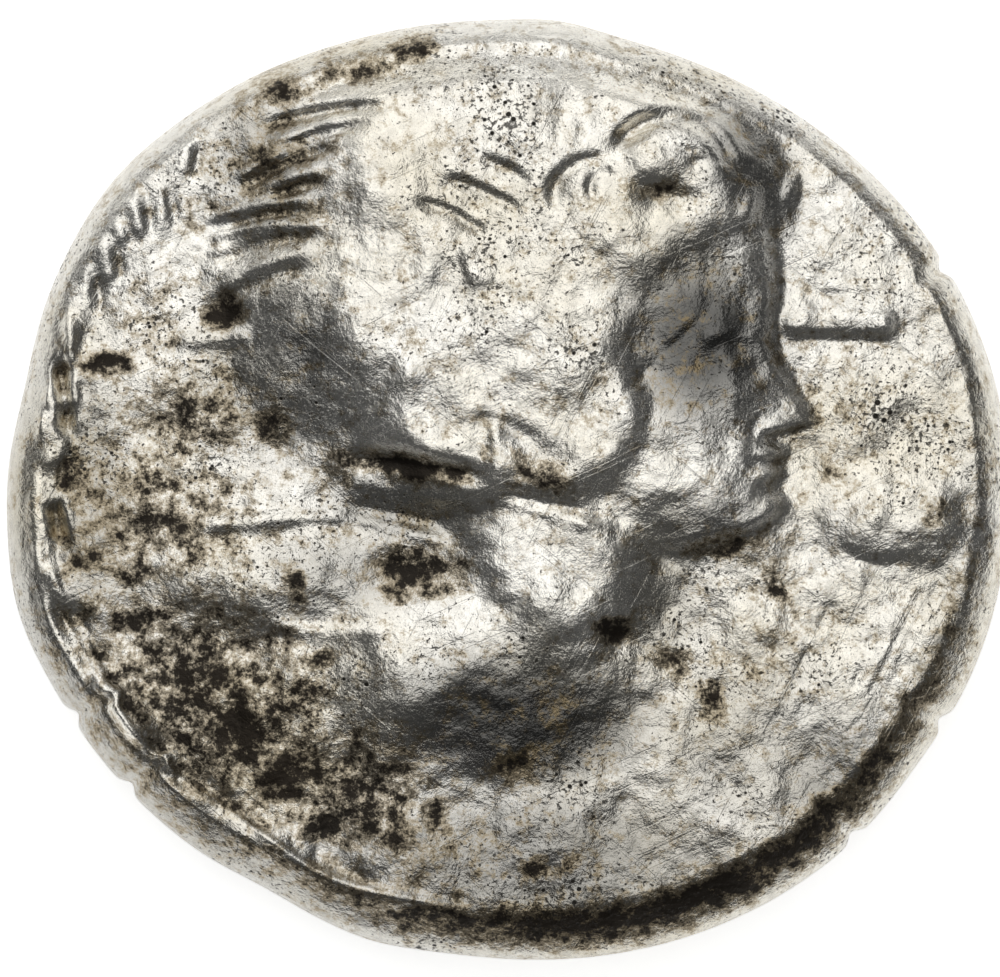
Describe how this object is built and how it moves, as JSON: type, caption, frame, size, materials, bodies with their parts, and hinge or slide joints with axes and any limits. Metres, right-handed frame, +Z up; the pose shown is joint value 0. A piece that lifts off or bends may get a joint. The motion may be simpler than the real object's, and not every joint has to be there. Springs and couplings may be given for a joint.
{
  "type": "hexadrachm, an ancient silver coin",
  "caption": "Thick oval hand-struck silver coin with a worn raised head in an animal-skin headdress facing right, rolled edge and a dished reverse with a wreath.",
  "frame": {"origin": "middle of the coin's outline on the plane it lies on, under the lowest point of the reverse", "axes": "+Z up out of the obverse, through the coin's thickness; +X to the right of the head, along the longer way across; +Y to the top of the head"},
  "size_m": [0.0258, 0.0242, 0.0045],
  "materials": {
    "silver": "worn struck silver with dark toning in the hollows"
  },
  "bodies": {
    "root": {"coin": "silver"}
  },
  "joints": []
}
